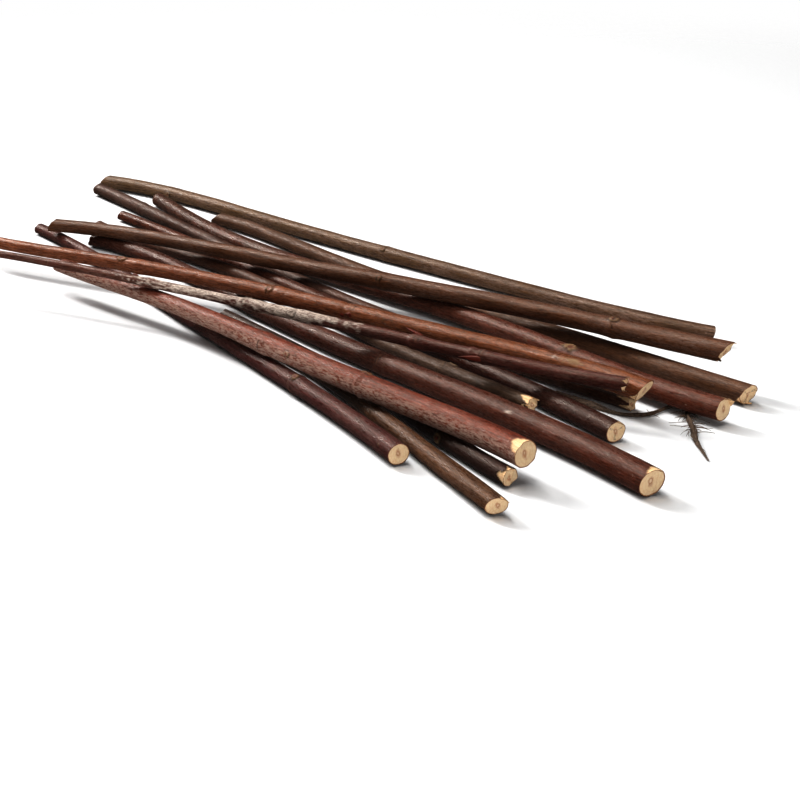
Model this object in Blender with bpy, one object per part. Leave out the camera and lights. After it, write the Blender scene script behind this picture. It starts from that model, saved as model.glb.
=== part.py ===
"""A loose bundle of fourteen cut twigs, with a dry rootlet caught under one of them.

Ten twigs lie side by side on the surface, butts towards +X, and four lie across them.
Each twig is drawn in plan, and its height follows from what it rests on.
Units are metres, +Z is up, and the origin is under the middle of the bundle.
"""

import math

import bpy
import bmesh
import numpy as np
from mathutils import Matrix, Vector

MM = 0.001

# Driving dimensions, in millimetres
CLEARANCE = 0.4        # left between a twig and what it rests on
KNOT_REACH = 3.0       # half the length of a swelling at a knot
BUD_ROOT = 1.0         # how far a bud starts inside its shoulder
BUD_LEAN = 14.0        # degrees between a bud and its twig
BUD_SHOULDER = -0.4    # height of a bud's widest ring, where its half length is 1
SCAR_SINK = 0.22       # share of a scar's width by which its middle lies under the bark

# How finely the shapes are drawn
RING_STEP = 18.0       # between two rings of a plain stretch
KNOT_RING = 1.2        # from a knot to its outer rings, in knot reaches
KNOT_CLEAR = 2.2       # knot reaches around a knot that hold no ring of the plain stretch
BEVEL_STEPS = 4        # gives each ring of a twig twelve sides
ROOTLET_STEPS = 2      # gives each ring of the rootlet eight sides
BUD_SIDES = 8
BUD_RINGS = 6
SAMPLES = 160          # places where a twig's height is tested
AHEAD = 0.01           # share of the way that gives a twig's direction
ROOTLET_SAMPLES = 200
ROOTLET_STRIDE = 6     # samples between two rings of the rootlet
ROOTLET_BLUR = 7       # samples to each side that smooth the rootlet's bends
WELD = 0.01            # points closer than this are one
RIM_DEPTH = 0.1        # how near an end's plane its rim lies
SHARP_ANGLE = 40.0     # degrees

# Shares of a rim that a torn end pulls in or leaves standing, round the twig
TORN_RIM = (0.0, 0.5, 0.1, 0.8, 0.3, 1.0, 0.2, 0.6, 0.0, 0.9, 0.4, 0.7)

# Plan of the twigs, in millimetres, in the order in which they were laid down.
# butt and tip are the ends of the centreline, bows its distance from the straight line
# between them at each fifth of the way, to the left as seen from the butt.
# thick is the diameter at butt and tip.
# knots are (share of the way, rise). buds are (share, turn, length, width, kind), and a
# turn is counted in degrees from straight up towards -Y.
# slant is (degrees, turn of the longest side) of the butt's cut, torn the depth of a tear.
TWIGS = [
    dict(name="front_maroon_twig", butt=(164, -60), tip=(-147, -46.5), bows=(-2.5, -2.5, -2.5, -3),
         thick=(6.5, 4.8), knots=((0.214, 0.35), (0.62, 0.2)), buds=((0.214, 25, 2.4, 2.2, "scar"),),
         slant=(8, -42), colour=(0.17, 0.07, 0.07)),
    dict(name="olive_brown_twig", butt=(208.6, -58.1), tip=(9.5, -43.5), bows=(-2.5, -5.5, -7, -4),
         thick=(6.0, 4.3), knots=((0.39, 0.3),), buds=(), slant=(28, -30), colour=(0.12, 0.07, 0.035)),
    dict(name="short_dark_twig", butt=(194, -43.5), tip=(11.5, -37.5), bows=(-1.5, -3.5, -3.5, -2),
         thick=(5.6, 4.3), knots=((0.19, 0.35),), buds=((0.19, 80, 3.0, 2.8, "scar"),),
         slant=(10, 18), torn=0.8, colour=(0.06, 0.02, 0.02)),
    dict(name="thickest_twig", butt=(220, -15.5), tip=(-114, -35.5), bows=(-2.5, -1, -2, -6),
         thick=(8.7, 5.5), knots=((0.368, 0.3), (0.72, 0.25)), buds=((0.191, 25, 3.2, 1.8, "scar"),),
         slant=(12, 0), colour=(0.13, 0.045, 0.03)),
    dict(name="torn_tan_twig", butt=(151, -3), tip=(-138, -23), bows=(0.5, -3.5, -7.5, -4),
         thick=(4.8, 4.8), knots=((0.146, 0.4),), buds=((0.137, -30, 3.4, 2.2, "scar"),), torn=3.0,
         colour=(0.15, 0.1, 0.055)),
    dict(name="red_brown_twig", butt=(183.4, 2.5), tip=(-150, -6.5), bows=(-2.5, -2.5, -2, -2),
         thick=(6.6, 4.4), knots=((0.3, 0.2), (0.74, 0.25)), buds=(), slant=(6, -18),
         colour=(0.1, 0.04, 0.02)),
    dict(name="dark_brown_twig", butt=(166, 24.5), tip=(-204.5, 5.5), bows=(7, 9, 7.5, 3.5),
         thick=(4.2, 5.8), knots=((0.86, 0.3),), buds=(), torn=1.2, colour=(0.08, 0.04, 0.02)),
    dict(name="long_maroon_twig", butt=(190.4, 38.5), tip=(-167.5, 20), bows=(2.5, 3.5, 10.5, 11),
         thick=(7.1, 6.2), knots=((0.177, 0.4), (0.8, 0.3)), buds=((0.177, 0, 4.5, 2.4, "scar"),),
         slant=(6, -72), colour=(0.13, 0.035, 0.025)),
    dict(name="cracked_end_twig", butt=(182.5, 58), tip=(-120.5, 25), bows=(2, 5, 5.5, 0.5),
         thick=(6.8, 5.6), knots=((0.5, 0.25),), buds=(), slant=(22, -30), colour=(0.09, 0.05, 0.025)),
    dict(name="long_olive_twig", butt=(129.5, 93), tip=(-216.5, 13.5), bows=(4, 2.5, -0.5, -5.5),
         thick=(5.6, 6.4), knots=((0.444, 0.3), (0.864, 0.35)),
         buds=((0.864, 85, 3.0, 2.0, "scar"), (0.444, 35, 2.6, 1.8, "scar")), slant=(38, 60),
         colour=(0.16, 0.1, 0.055)),
    dict(name="grey_bloom_twig", butt=(196.1, -39.4), tip=(-54.5, -73.5), bows=(-1.5, -2, -4, -3),
         thick=(8.1, 5.4), knots=((0.486, 0.45), (0.28, 0.25)),
         buds=((0.422, 65, 2.6, 1.8, "scar"), (0.28, -15, 5.0, 2.4, "scar")),
         slant=(8, 42), colour=(0.22, 0.08, 0.05)),
    dict(name="torn_brown_twig", butt=(170, 61.5), tip=(-125.5, -49), bows=(-5, -7, -7, -8),
         thick=(7.0, 5.4), knots=((0.141, 0.45), (0.454, 0.3)),
         buds=((0.454, 55, 2.6, 2.0, "scar"), (0.141, 25, 4.0, 2.6, "scar")), slant=(34, 0), torn=1.5,
         colour=(0.13, 0.06, 0.03)),
    dict(name="orange_twig", butt=(176, 21.8), tip=(-103, -82.5), bows=(-8, -10.5, -11.5, -7),
         thick=(7.5, 4.6), knots=((0.4, 0.5), (0.52, 0.35), (0.75, 0.3)),
         buds=((0.41, 100, 3.0, 2.0, "bud"), (0.397, 82, 3.0, 2.2, "bud")), slant=(32, 20),
         colour=(0.25, 0.09, 0.035)),
    dict(name="lichened_twig", butt=(172, 15.5), tip=(-59.5, -97), bows=(1.5, -0.5, -2, -2.5),
         thick=(4.6, 2.6),
         knots=((0.185, 0.35), (0.275, 0.3), (0.452, 0.35), (0.53, 0.4), (0.71, 0.3), (0.86, 0.3)),
         buds=((0.265, -30, 7.5, 2.0, "bud"), (0.177, 95, 7.5, 2.0, "bud"),
               (0.71, -34, 3.5, 1.6, "bud"), (0.53, -34, 3.0, 1.8, "scar")),
         torn=1.6, colour=(0.14, 0.06, 0.06)),
]

# The rootlet's way over the surface, and its thickness at each point
ROOTLET_PATH = [(139, 15.5), (147, 16), (156, 16.5), (163, 17.5), (169, 20.5), (171.5, 26), (170.5, 32),
                (169.5, 37), (171, 40.5), (174.5, 39), (177.5, 35.5), (182, 32.5), (187, 29), (192, 25),
                (197, 21.5), (202.5, 18.5), (208, 15.5)]
ROOTLET_THICK = (0.5, 0.7, 0.8, 0.9, 1.0, 1.0, 1.0, 1.0, 1.0, 1.1, 1.3, 1.5, 1.6, 1.5, 1.1, 0.7, 0.35)
ROOTLET_COLOUR = (0.07, 0.055, 0.04)
WOOD_COLOUR = (0.72, 0.5, 0.29)
BARK_ROUGHNESS = 0.45
WOOD_ROUGHNESS = 0.8
ROOTLET_ROUGHNESS = 0.9


def principled(name, colour, roughness):
    """A plain material of one colour."""
    material = bpy.data.materials.new(name)
    material.use_nodes = True
    shader = material.node_tree.nodes["Principled BSDF"]
    shader.inputs["Base Color"].default_value = (*colour, 1.0)
    shader.inputs["Roughness"].default_value = roughness
    shader.inputs["Metallic"].default_value = 0.0
    material.diffuse_color = (*colour, 1.0)
    return material


def plan_line(twig, shares):
    """Points of a twig's centreline in plan, bowed off the straight line from butt to tip."""
    butt = np.array(twig["butt"], float)
    run = np.array(twig["tip"], float) - butt
    left = np.array((-run[1], run[0])) / np.linalg.norm(run)
    fifths = np.linspace(0, 1, len(twig["bows"]) + 2)
    bow = np.polynomial.Polynomial.fit(fifths, (0, *twig["bows"], 0), len(fifths) - 1)
    return butt + shares[:, None] * run + bow(shares)[:, None] * left


def radii(twig, shares):
    """Half the thickness along a twig: a straight taper with a swelling at each knot."""
    length = math.dist(twig["butt"], twig["tip"])
    thick = twig["thick"][0] + (twig["thick"][1] - twig["thick"][0]) * shares
    swelling = sum(
        rise * np.exp(-(((shares - at) * length / KNOT_REACH) ** 2)) for at, rise in twig["knots"]
    )
    return thick / 2 + swelling


def needed_heights(points, half, laid):
    """Lowest height of the centreline that clears the surface and every twig already laid."""
    heights = half.copy()
    for other_points, other_heights, other_half in laid:
        apart = np.linalg.norm(points[:, None] - other_points[None], axis=2)
        reach = half[:, None] + other_half[None] + CLEARANCE
        lift = np.sqrt(np.maximum(reach**2 - apart**2, 0))
        over = np.where(apart < reach, other_heights[None] + lift, 0)
        heights = np.maximum(heights, over.max(axis=1))
    return heights


def resting_line(along, needed, balance):
    """Height at the butt and rise per millimetre of a stiff rod on the two supports that hold it."""
    hull = []
    for point in zip(along, needed):
        while len(hull) > 1:
            (x0, y0), (x1, y1) = hull[-2:]
            if (x1 - x0) * (point[1] - y0) < (y1 - y0) * (point[0] - x0):
                break
            hull.pop()
        hull.append(point)
    for (x0, y0), (x1, y1) in zip(hull, hull[1:]):
        if x0 <= balance <= x1:
            rise = (y1 - y0) / (x1 - x0)
            return y0 - rise * x0, rise
    raise ValueError("the balance point is past the end of the twig")


def laid_heights(twig, laid):
    """Where a twig comes to rest on those under it, as (height at the butt, rise to the tip)."""
    shares = np.linspace(0, 1, SAMPLES)
    points = plan_line(twig, shares)
    half = radii(twig, shares)
    needed = needed_heights(points, half, laid)
    balance = np.average(shares, weights=half**2)
    start, rise = resting_line(shares, needed, balance)
    laid.append((points, start + rise * shares, half))
    return start, rise


def ring_shares(twig):
    """Where a twig has its rings: evenly along it, and closer at each knot."""
    length = math.dist(twig["butt"], twig["tip"])
    even = np.linspace(0, 1, round(length / RING_STEP) + 1)
    reach = KNOT_REACH / length
    close = [at + side * reach for at, _ in twig["knots"] for side in (-KNOT_RING, 0, KNOT_RING)]
    near_knot = [min(abs(share - at) for at, _ in twig["knots"]) < KNOT_CLEAR * reach for share in even]
    kept = [share for share, near in zip(even, near_knot) if not near or share in (0, 1)]
    return np.array(sorted(kept + close))


def curve_mesh(name, points, half, steps):
    """A closed round tube through the points as a mesh, from a curve with a bevel and filled caps."""
    curve = bpy.data.curves.new(name, "CURVE")
    curve.dimensions = "3D"
    curve.bevel_depth = MM
    curve.bevel_resolution = steps
    curve.use_fill_caps = True
    spline = curve.splines.new("POLY")
    spline.points.add(len(points) - 1)
    for control, point, radius in zip(spline.points, points, half):
        control.co = (*(Vector(point) * MM), 1.0)
        control.radius = radius
    guide = bpy.data.objects.new(name + "_guide", curve)
    bpy.context.scene.collection.objects.link(guide)
    graph = bpy.context.evaluated_depsgraph_get()
    mesh = bpy.data.meshes.new_from_object(guide.evaluated_get(graph))
    mesh.name = name
    bpy.data.objects.remove(guide)
    bpy.data.curves.remove(curve)
    shape = bmesh.new()
    shape.from_mesh(mesh)
    bmesh.ops.remove_doubles(shape, verts=shape.verts, dist=WELD * MM)
    bmesh.ops.recalc_face_normals(shape, faces=shape.faces)
    shape.to_mesh(mesh)
    shape.free()
    return mesh


def turned(axis, degrees):
    """The direction square to the axis that lies so many degrees from straight up towards -Y."""
    up = (Vector((0, 0, 1)) - axis * axis.z).normalized()
    side = axis.cross(up)
    if side.y > 0:
        side = -side
    angle = math.radians(degrees)
    return up * math.cos(angle) + side * math.sin(angle)


def shape_end(mesh, end, outward, radius, slant, torn):
    """Slants the cut at one end, pulls its rim in where it is torn, and marks its faces as wood."""
    shape = bmesh.new()
    shape.from_mesh(mesh)
    rim = [vert for vert in shape.verts if abs((vert.co - end).dot(outward)) < RIM_DEPTH * MM]
    longest = turned(outward, slant[1])
    lean = math.tan(math.radians(slant[0]))
    across = turned(outward, slant[1] + 90)
    for vert in rim:
        arm = vert.co - end
        around = math.atan2(arm.dot(across), arm.dot(longest)) / math.tau % 1
        bite = TORN_RIM[round(around * len(TORN_RIM)) % len(TORN_RIM)] * torn * MM
        vert.co += outward * ((arm.dot(longest) - radius * MM) * lean - bite)
    caps = [face for face in shape.faces if set(face.verts) == set(rim)]
    middle = bmesh.ops.poke(shape, faces=caps)
    for face in middle["faces"]:
        face.material_index = 1
        face.smooth = False
    shape.to_mesh(mesh)
    shape.free()


def bud_mesh(name, length, width, kind):
    """A bud is a pointed drop along +Z, and a scar is a low rounded pad."""
    shape = bmesh.new()
    bmesh.ops.create_uvsphere(shape, u_segments=BUD_SIDES, v_segments=BUD_RINGS, radius=1.0)
    for vert in shape.verts:
        if kind == "bud":
            fullness = (1 - max(vert.co.z, BUD_SHOULDER)) / (1 - BUD_SHOULDER)
            vert.co.x *= fullness**0.5
            vert.co.y *= fullness**0.5
        vert.co = Vector((vert.co.x * width / 2, vert.co.y * width / 2, vert.co.z * length / 2)) * MM
    mesh = bpy.data.meshes.new(name)
    shape.to_mesh(mesh)
    shape.free()
    return mesh


def add_buds(obj, twig, points, half, shares, cutters):
    """Joins every bud and scar to the bark."""
    tilt = math.radians(BUD_LEAN)
    for number, (at, turn, length, width, kind) in enumerate(twig["buds"], 1):
        place = np.array([np.interp(at, shares, points[:, k]) for k in range(3)])
        ahead = np.array([np.interp(at + AHEAD, shares, points[:, k]) for k in range(3)])
        growth = Vector(ahead - place).normalized()
        outward = turned(growth, turn)
        radius = float(np.interp(at, shares, half))
        if kind == "bud":
            lean = growth * math.cos(tilt) + outward * math.sin(tilt)
            centre = Vector(place) + outward * radius + lean * (length / 2 - BUD_ROOT)
        else:
            lean = growth
            centre = Vector(place) + outward * (radius - width * SCAR_SINK)
        name = f"{obj.name}_bud_{number}"
        bud = bpy.data.objects.new(name, bud_mesh(name, length, width, kind))
        side = lean.cross(outward).normalized()
        basis = Matrix((side, lean.cross(side), lean)).transposed()
        bud.matrix_world = Matrix.Translation(centre * MM) @ basis.to_4x4()
        bud.hide_render = True
        bud.display_type = "WIRE"
        cutters.objects.link(bud)
        join = obj.modifiers.new(name, "BOOLEAN")
        join.operation = "UNION"
        join.solver = "EXACT"
        join.object = bud


def add_twig(twig, laid, collection, cutters, wood):
    """One twig as a tapered, bowed tube with its knots, buds and cut ends."""
    start, rise = laid_heights(twig, laid)
    shares = ring_shares(twig)
    plan = plan_line(twig, shares)
    points = np.column_stack((plan, start + rise * shares))
    half = radii(twig, shares)
    butt = Vector(points[0])
    mesh = curve_mesh(twig["name"], points - points[0], half, BEVEL_STEPS)
    shape_end(mesh, Vector((0, 0, 0)), Vector(points[0] - points[1]).normalized(), half[0],
              twig.get("slant", (0, 0)), twig.get("torn", 0))
    shape_end(mesh, Vector(points[-1] - points[0]) * MM, Vector(points[-1] - points[-2]).normalized(),
              half[-1], (0, 0), 0)
    mesh.shade_smooth()
    mesh.set_sharp_from_angle(angle=math.radians(SHARP_ANGLE))
    obj = bpy.data.objects.new(twig["name"], mesh)
    obj.location = butt * MM
    mesh.materials.append(principled(twig["name"] + "_bark", twig["colour"], BARK_ROUGHNESS))
    mesh.materials.append(wood)
    collection.objects.link(obj)
    add_buds(obj, twig, points, half, shares, cutters)
    return obj


def rootlet_line():
    """The rootlet's centreline and half thickness, smoothed through its plan points."""
    path = np.array(ROOTLET_PATH, float)
    thick = np.array(ROOTLET_THICK)
    steps = np.linalg.norm(np.diff(path, axis=0), axis=1)
    along = np.concatenate(([0], np.cumsum(steps)))
    fine = np.linspace(0, along[-1], ROOTLET_SAMPLES)
    plan = np.column_stack([np.interp(fine, along, path[:, k]) for k in range(2)])
    blur = np.hanning(2 * ROOTLET_BLUR + 1)
    blur /= blur.sum()
    for k in range(2):
        padded = np.pad(plan[:, k], ROOTLET_BLUR, mode="reflect", reflect_type="odd")
        plan[:, k] = np.convolve(padded, blur, mode="valid")
    half = np.interp(fine, along, thick) / 2
    return plan, half


def add_rootlet(laid, collection):
    """The dry rootlet, flat on the surface."""
    plan, half = rootlet_line()
    laid.append((plan, half, half))
    last = ROOTLET_SAMPLES - 1
    rings = np.append(np.arange(0, last, ROOTLET_STRIDE), last)
    points = np.column_stack((plan, half))[rings]
    mesh = curve_mesh("dry_rootlet", points - points[0], half[rings], ROOTLET_STEPS)
    mesh.shade_smooth()
    obj = bpy.data.objects.new("dry_rootlet", mesh)
    obj.location = Vector(points[0]) * MM
    mesh.materials.append(principled("rootlet", ROOTLET_COLOUR, ROOTLET_ROUGHNESS))
    collection.objects.link(obj)
    return obj


def centre_on_origin(objects):
    """Moves the bundle so that the origin is at the bottom centre of its box."""
    bpy.context.view_layer.update()
    corners = np.array([obj.matrix_world @ vert.co for obj in objects for vert in obj.data.vertices])
    low = corners.min(axis=0)
    high = corners.max(axis=0)
    shift = Vector(((low[0] + high[0]) / 2, (low[1] + high[1]) / 2, low[2]))
    for obj in objects:
        obj.location -= shift
    return shift


def main():
    for obj in list(bpy.data.objects):
        bpy.data.objects.remove(obj)
    bundle = bpy.data.collections.new("bundle_of_twigs")
    cutters = bpy.data.collections.new("buds_and_scars")
    for collection in (bundle, cutters):
        bpy.context.scene.collection.children.link(collection)
    wood = principled("cut_wood", WOOD_COLOUR, WOOD_ROUGHNESS)
    laid = []
    rootlet = add_rootlet(laid, bundle)
    twigs = [add_twig(twig, laid, bundle, cutters, wood) for twig in TWIGS]
    shift = centre_on_origin([rootlet, *twigs])
    for bud in cutters.objects:
        bud.location -= shift


main()
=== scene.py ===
"""The finish of a loose bundle of twigs: bark, buds, cut wood and a dry rootlet, in a plain studio.

Every twig is skinned anew along the line and thickness of its solid. Distances along and round a
twig are in millimetres from its cut end, and a turn is in degrees from straight up towards -Y.
"""

import math

import bpy
import numpy as np
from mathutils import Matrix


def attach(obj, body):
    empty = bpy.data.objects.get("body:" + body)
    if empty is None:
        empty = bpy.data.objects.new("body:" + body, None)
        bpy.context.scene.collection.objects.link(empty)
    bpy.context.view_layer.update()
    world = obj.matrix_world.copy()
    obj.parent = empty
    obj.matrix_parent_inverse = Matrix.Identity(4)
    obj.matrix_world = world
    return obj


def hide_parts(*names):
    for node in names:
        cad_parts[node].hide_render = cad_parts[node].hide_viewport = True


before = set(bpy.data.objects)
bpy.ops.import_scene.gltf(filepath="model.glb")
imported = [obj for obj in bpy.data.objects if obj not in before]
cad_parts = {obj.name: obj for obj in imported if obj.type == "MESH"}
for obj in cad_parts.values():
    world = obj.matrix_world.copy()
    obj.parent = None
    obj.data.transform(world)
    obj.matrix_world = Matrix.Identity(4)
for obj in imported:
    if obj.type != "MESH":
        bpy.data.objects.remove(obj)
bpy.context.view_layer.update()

MM = 0.001
TAU = math.tau
UP = np.array((0.0, 0.0, 1.0))

# How finely a twig is drawn
SIDES = 48             # points round the bark
FINE_STEP = 0.24       # between rings at the cut and at each mark, in millimetres
PLAIN_STEP = 0.85      # between rings of plain bark
STEP_GROWTH = 0.07     # how fast the steps widen away from a mark
STATIONS = 140         # places where a solid's line and thickness are measured
END_SKIP = 2.0         # length of each end that isn't measured, in millimetres
SLANT_SKIP = 8.0       # times the lean's tangent is the length left out besides at a slanted cut
LINE_DEGREE = 5        # degree of the curve through a twig's middle
FACE_RINGS = 12        # rings of a cut face

# The marks of the bark, in millimetres unless another unit is named
BARK_DEPTH = 0.32      # thickness of the bark that a tear takes off
RING_RELIEF = 0.10     # height of the ridges and depth of the creases at a knot
DOTS_APART = 9.0       # length of bark to each scattered dot
LOW_SIDE = 118         # turn of the middle of the side that low_bloom covers, in degrees
KNOT_FINE = 3.5        # half the finely drawn length at a mark
CUT_FINE = 7.0         # finely drawn length at the cut
TIP_FINE = 1.5         # and at the tip
TIP = (24, 200)        # lean and longest side of a tip, in degrees
TIP_TEAR = 0.5         # how rough a tip is
FIRST_SEED = 1000      # of the first twig's random numbers
SEEDS_APART = 100      # between one twig's seeds and the next one's


def srgb(red, green, blue):
    """A colour given as a photo shows it, in the renderer's own terms."""
    return tuple(
        c / 12.92 if c <= 0.04045 else ((c + 0.055) / 1.055) ** 2.4
        for c in (red / 255, green / 255, blue / 255)
    )


# What each twig looks like. near and far are the bark's colours at the cut and at the tip.
# bloom is a grey coat all over, low_bloom one on the lower side, and gloss the bark's roughness.
# slant and tip are (lean, turn of the longest side) of the cut and of the tip, in degrees.
# tear says how rough the cut is, pith where its middle is, and cracks that it is cracked.
# rings are (share, turn, half span in degrees, strength) of pale wrinkled rings at knots.
# scars are (share, turn, length, width) of pads, buds are (share, turn, length, width, lean).
# peels are (turn, half span in degrees, length) where bark is torn off at the cut.
# patches are (share, half length, turn, half span, kind), dots are (share, turn) of raised dots,
# and shards are (turn, length, width) of splinters at the cut.
LOOKS = {
    "front_maroon_twig": dict(
        near=(80, 38, 34), far=(85, 45, 36), bloom=0.15, gloss=0.42, pith=(0.1, 0.05),
        rings=[(0.214, 76, 150, 0.7)], scars=[(0.214, 22, 2.6, 2.2)], dots=[(0.255, 46)],
        slant=(8, -42),
    ),
    "olive_brown_twig": dict(
        near=(90, 59, 35), far=(90, 60, 40), bloom=0.18, gloss=0.36, pith=(0.05, -0.1),
        rings=[(0.39, 36, 110, 0.6)], peels=[(-26, 22, 1.8)], slant=(28, -30),
        shards=[(-42, 1.6, 1.6)],
    ),
    "short_dark_twig": dict(
        near=(50, 25, 17), far=(46, 26, 18), bloom=0.1, gloss=0.45, pith=(-0.1, 0.1),
        rings=[(0.19, 80, 70, 0.6)], scars=[(0.19, 80, 3.0, 2.8)],
        peels=[(72, 40, 3.4), (0, 30, 1.6)], slant=(10, 18), tear=0.5,
        shards=[(-20, 1.0, 1.6)],
    ),
    "thickest_twig": dict(
        near=(88, 44, 29), far=(68, 34, 22), bloom=0.12, gloss=0.36, pith=(0.15, 0.15),
        rings=[(0.368, 85, 100, 0.4)], peels=[(-4, 40, 2.4)],
        patches=[(0.179, 2.0, 48, 7, "lichen")], slant=(12, 0),
    ),
    "torn_tan_twig": dict(
        near=(68, 48, 32), far=(85, 41, 23), bloom=0.2, gloss=0.5, pith=(0.0, 0.0),
        rings=[(0.146, 57, 120, 0.5)], scars=[(0.137, -34, 3.2, 2.0)],
        peels=[(16, 60, 4.4), (90, 25, 2.6)], tear=0.5,
        shards=[(-40, 1.2, 2.4), (110, 1.0, 2.2)],
    ),
    "red_brown_twig": dict(
        near=(56, 22, 12), far=(103, 52, 29), bloom=0.08, gloss=0.36, pith=(0.1, 0.05),
        rings=[(0.3, 40, 80, 0.4)], cracks=True, slant=(6, -18), peels=[(-30, 24, 1.4)],
    ),
    "dark_brown_twig": dict(
        near=(80, 44, 27), far=(62, 40, 28), bloom=0.2, gloss=0.5, pith=(0.0, 0.0),
        rings=[(0.86, 30, 120, 0.5)], peels=[(30, 40, 5.0), (110, 30, 3.0)], tear=1.2,
    ),
    "long_maroon_twig": dict(
        near=(100, 53, 37), far=(68, 47, 33), bloom=0.1, gloss=0.34, pith=(0.1, 0.0),
        rings=[(0.177, 10, 75, 1.0)], scars=[(0.18, 12, 5.4, 3.0)], peels=[(-20, 22, 2.2)],
        patches=[(0.182, 3.6, 4, 40, "cork")],
        dots=[(0.259, 50), (0.238, 69), (0.227, 47)], slant=(6, -72), tear=0.2,
        shards=[(-62, 1.8, 2.8), (-30, 1.0, 1.6)],
    ),
    "cracked_end_twig": dict(
        near=(90, 57, 34), far=(82, 53, 30), bloom=0.2, gloss=0.5, pith=(0.1, 0.1),
        rings=[(0.5, 20, 80, 0.4)], cracks=True, tip=(48, 180), slant=(22, -30),
        peels=[(130, 30, 1.6)], tear=0.4, shards=[(150, 1.6, 2.6), (190, 1.4, 1.8)],
    ),
    "long_olive_twig": dict(
        near=(85, 58, 35), far=(113, 87, 57), bloom=0.35, gloss=0.42, pith=(0.0, 0.0),
        rings=[(0.864, 60, 90, 0.6), (0.444, 40, 90, 0.4)], tip=(36, 160),
        scars=[(0.864, 85, 3.0, 2.0), (0.444, 39, 2.6, 1.8)], slant=(38, 60),
    ),
    "grey_bloom_twig": dict(
        near=(118, 54, 34), far=(118, 58, 38), bloom=0.16, gloss=0.42, pith=(0.1, 0.1),
        low_bloom=1.0,
        rings=[(0.486, 84, 34, 0.3), (0.28, -19, 40, 0.4)], tip=(40, 150),
        scars=[(0.422, 69, 2.4, 1.6), (0.28, -19, 5.0, 2.2)], peels=[(34, 46, 5.4)],
        dots=[(0.314, 94)], slant=(8, 42), tear=0.25,
    ),
    "torn_brown_twig": dict(
        near=(94, 56, 31), far=(93, 59, 36), bloom=0.25, gloss=0.42, pith=(0.0, 0.0),
        rings=[(0.141, 24, 80, 0.6), (0.454, 55, 60, 0.5)], tip=(30, 170),
        scars=[(0.454, 55, 2.4, 1.8), (0.141, 24, 3.6, 2.4)], slant=(34, 0), tear=1.2,
        shards=[(-20, 1.2, 2.6), (120, 1.2, 2.4)],
    ),
    "orange_twig": dict(
        near=(129, 79, 50), far=(134, 83, 60), bloom=0.06, gloss=0.28, pith=(0.0, 0.0),
        rings=[(0.402, 60, 80, 0.7), (0.531, 21, 90, 0.7), (0.773, 23, 60, 0.6)],
        scars=[(0.531, 40, 3.0, 1.8), (0.773, 23, 3.6, 1.8)],
        buds=[(0.414, 102, 3.0, 2.0, 12), (0.402, 86, 3.0, 2.2, 12)],
        patches=[(0.1, 4.4, 30, 24, "cork"), (0.122, 2.0, 36, 12, "lichen"),
                 (0.055, 4.0, 66, 12, "cork")],
        dots=[(0.353, 67)], slant=(32, 20), peels=[(120, 26, 2.4)],
    ),
    "lichened_twig": dict(
        near=(85, 40, 32), far=(106, 68, 55), bloom=0.2, gloss=0.4, pith=(0.0, 0.0),
        rings=[(0.185, 30, 90, 0.6), (0.275, -10, 100, 0.6), (0.547, 0, 130, 0.6),
               (0.469, 66, 60, 0.8), (0.72, 0, 90, 0.5), (0.895, 77, 100, 0.7)],
        scars=[(0.547, -34, 3.0, 1.6), (0.469, 66, 2.8, 2.0)],
        buds=[(0.275, -32, 8.0, 2.0, 14), (0.185, 94, 8.0, 2.0, 12), (0.738, -34, 3.5, 1.6, 16)],
        patches=[(0.47, 24.0, 20, 170, "lichen"), (0.62, 30.0, 20, 170, "lichen")],
        shards=[(-10, 1.8, 1.8), (70, 1.4, 1.6), (150, 1.0, 1.2)], tear=0.8,
    ),
}


def smooth_step(value):
    """From 0 to 1 without a corner at either end."""
    value = np.clip(value, 0, 1)
    return value * value * (3 - 2 * value)


def bark_noise(seed, along, around, step, cells):
    """Smooth noise from -1 to 1 over the bark, with a value each step along and no seam round it."""
    rng = np.random.default_rng(seed)
    rows = int(np.max(along) / step) + 4
    grid = rng.uniform(-1, 1, (rows, cells))
    u = np.clip(along / step + 1, 0, rows - 2)
    v = around / TAU * cells
    row = np.floor(u).astype(int)
    column = np.floor(v).astype(int)
    du = smooth_step(u - row)
    dv = smooth_step(v - column)
    left = column % cells
    right = (column + 1) % cells
    low = grid[row, left] * (1 - dv) + grid[row, right] * dv
    high = grid[row + 1, left] * (1 - dv) + grid[row + 1, right] * dv
    return low * (1 - du) + high * du


def wrap(angle):
    """The same angle in radians, from minus half a turn to half a turn."""
    return (angle + math.pi) % TAU - math.pi


def angle_apart(around, turn):
    """Signed angle from a turn in degrees, in radians."""
    return wrap(around - math.radians(turn))


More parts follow.
